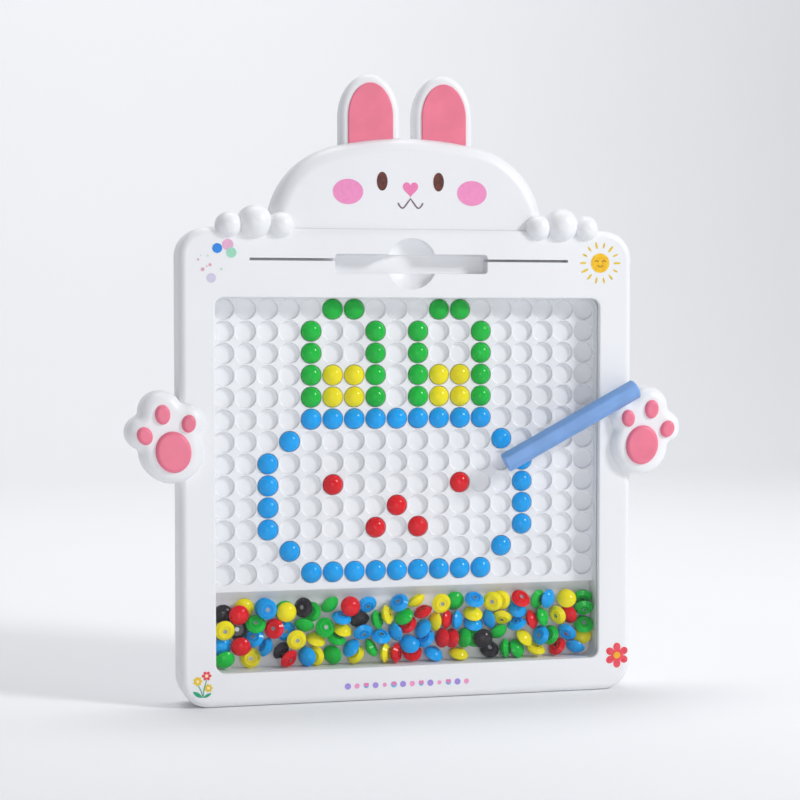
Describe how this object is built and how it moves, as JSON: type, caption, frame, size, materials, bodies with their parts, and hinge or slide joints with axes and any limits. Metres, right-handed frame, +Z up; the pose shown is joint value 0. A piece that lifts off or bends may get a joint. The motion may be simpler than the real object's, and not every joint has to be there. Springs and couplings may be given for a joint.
{
  "type": "magnetic bead drawing board",
  "caption": "Upright bead drawing board with a rabbit head, paws, a clear window over a dimple plate, coloured beads and a magnetic pen.",
  "frame": {"origin": "middle of the flat underside of the board, half way through its thickness", "axes": "+Z up along the board's height, the bead window faces -Y, +X to the viewer's right"},
  "size_m": [0.2592, 0.0351, 0.2856],
  "materials": {
    "white_shell": "moulded ABS, satin gloss",
    "clear_sheet": "clear polystyrene sheet, polished",
    "pink_pad": "moulded ABS, fine satin",
    "bead_green": "moulded polystyrene, gloss",
    "bead_yellow": "moulded polystyrene, gloss",
    "bead_blue": "moulded polystyrene, gloss",
    "bead_red": "moulded polystyrene, gloss",
    "bead_black": "moulded polystyrene, gloss",
    "steel_pin": "cut steel wire",
    "screw_steel": "zinc plated steel",
    "magnet": "nickel plated magnet",
    "pen_blue": "moulded ABS, satin"
  },
  "bodies": {
    "board": {"front_shell": "white_shell", "back_cover": "white_shell", "bead_tray": "white_shell", "window_sheet": "clear_sheet", "cover_screws": "screw_steel", "head_shell": "white_shell", "head_lid": "white_shell", "head_screws": "screw_steel", "left_ear": "white_shell", "left_ear_inset": "pink_pad", "left_side_paw": "white_shell", "left_palm_pad": "pink_pad", "left_toe_pads": "pink_pad", "left_top_paw": "white_shell", "right_ear": "white_shell", "right_ear_inset": "pink_pad", "right_side_paw": "white_shell", "right_palm_pad": "pink_pad", "right_toe_pads": "pink_pad", "right_top_paw": "white_shell"},
    "pen": {"pen_barrel": "pen_blue", "pen_magnet": "magnet", "pen_nose_cap": "pen_blue", "pen_end_cap": "pen_blue"},
    "placed_green": {"placed_beads_green": "bead_green", "placed_pins_green": "steel_pin"},
    "placed_yellow": {"placed_beads_yellow": "bead_yellow", "placed_pins_yellow": "steel_pin"},
    "placed_blue": {"placed_beads_blue": "bead_blue", "placed_pins_blue": "steel_pin"},
    "placed_red": {"placed_beads_red": "bead_red", "placed_pins_red": "steel_pin"},
    "loose_pile": {"loose_beads_yellow": "bead_yellow", "loose_beads_blue": "bead_blue", "loose_beads_green": "bead_green", "loose_beads_red": "bead_red", "loose_beads_black": "bead_black", "loose_pins": "steel_pin"}
  },
  "joints": [
    {"name": "pen_lift", "type": "slide", "parent": "board", "child": "pen", "axis": [0, -1, 0], "range_m": [0, 0.06]},
    {"name": "green_beads_lift", "type": "slide", "parent": "board", "child": "placed_green", "axis": [0, -1, 0], "range_m": [0, 0.0019]},
    {"name": "yellow_beads_lift", "type": "slide", "parent": "board", "child": "placed_yellow", "axis": [0, -1, 0], "range_m": [0, 0.0019]},
    {"name": "blue_beads_lift", "type": "slide", "parent": "board", "child": "placed_blue", "axis": [0, -1, 0], "range_m": [0, 0.0019]},
    {"name": "red_beads_lift", "type": "slide", "parent": "board", "child": "placed_red", "axis": [0, -1, 0], "range_m": [0, 0.0019]},
    {"name": "pile_shake", "type": "slide", "parent": "board", "child": "loose_pile", "axis": [0, 0, 1], "range_m": [0, 0.003]}
  ]
}
